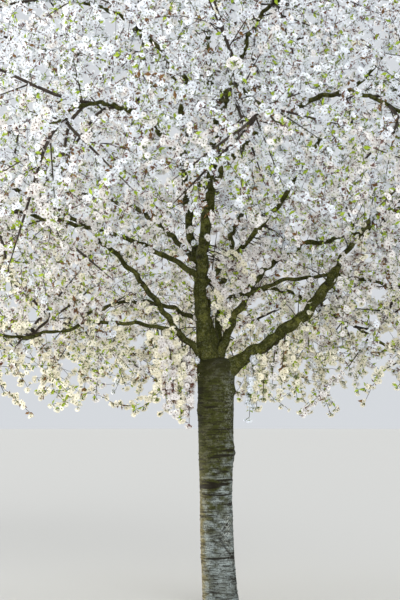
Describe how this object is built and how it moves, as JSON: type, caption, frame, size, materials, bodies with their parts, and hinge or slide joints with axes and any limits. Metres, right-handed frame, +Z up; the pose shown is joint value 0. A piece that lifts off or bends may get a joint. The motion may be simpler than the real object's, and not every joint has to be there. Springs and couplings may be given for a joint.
{
  "type": "cherry blossom tree",
  "caption": "Broad cherry tree in full blossom on a clear silvery stem, with mossy boughs that leave a fork at head height and carry open masses of white blossom.",
  "frame": {"origin": "on the stem's axis in the flat cut at ground level", "axes": "+Z up the stem; +X to the right and +Y away, as seen from the picture's side"},
  "size_m": [5.2088, 5.2149, 5.5144],
  "materials": {
    "bark": "silvery grey cherry bark with dark level bands of pores, rough and cracked, moss on the shaded side",
    "mossy_bark": "dark brown-grey bark with an olive film of moss",
    "blossom": "thin white petals with a faint pink flush, rose-brown centres and stalks, a few yellow-green young leaves"
  },
  "bodies": {
    "root": {"trunk": "bark", "leader": "mossy_bark", "right_bough": "mossy_bark", "second_leader": "mossy_bark", "inner_bough": "mossy_bark", "left_bough": "mossy_bark", "back_bough": "mossy_bark", "left_arm": "mossy_bark", "right_arm": "mossy_bark", "front_left_bough": "mossy_bark", "front_bough": "mossy_bark", "front_right_bough": "mossy_bark", "high_back_bough": "mossy_bark", "high_left_bough": "mossy_bark", "high_right_bough": "mossy_bark", "right_low_bough": "mossy_bark", "back_right_low_bough": "mossy_bark", "back_low_bough": "mossy_bark", "back_left_low_bough": "mossy_bark", "back_left_bough": "mossy_bark", "left_low_bough": "mossy_bark", "leader_blossom": "blossom", "right_blossom": "blossom", "second_leader_blossom": "blossom", "inner_blossom": "blossom", "left_blossom": "blossom", "back_blossom": "blossom", "left_arm_blossom": "blossom", "right_arm_blossom": "blossom", "front_left_blossom": "blossom", "front_blossom": "blossom", "front_right_blossom": "blossom", "high_back_blossom": "blossom", "high_left_blossom": "blossom", "high_right_blossom": "blossom", "right_low_blossom": "blossom", "back_right_low_blossom": "blossom", "back_low_blossom": "blossom", "back_left_low_blossom": "blossom", "back_left_blossom": "blossom", "left_low_blossom": "blossom"}
  },
  "joints": []
}
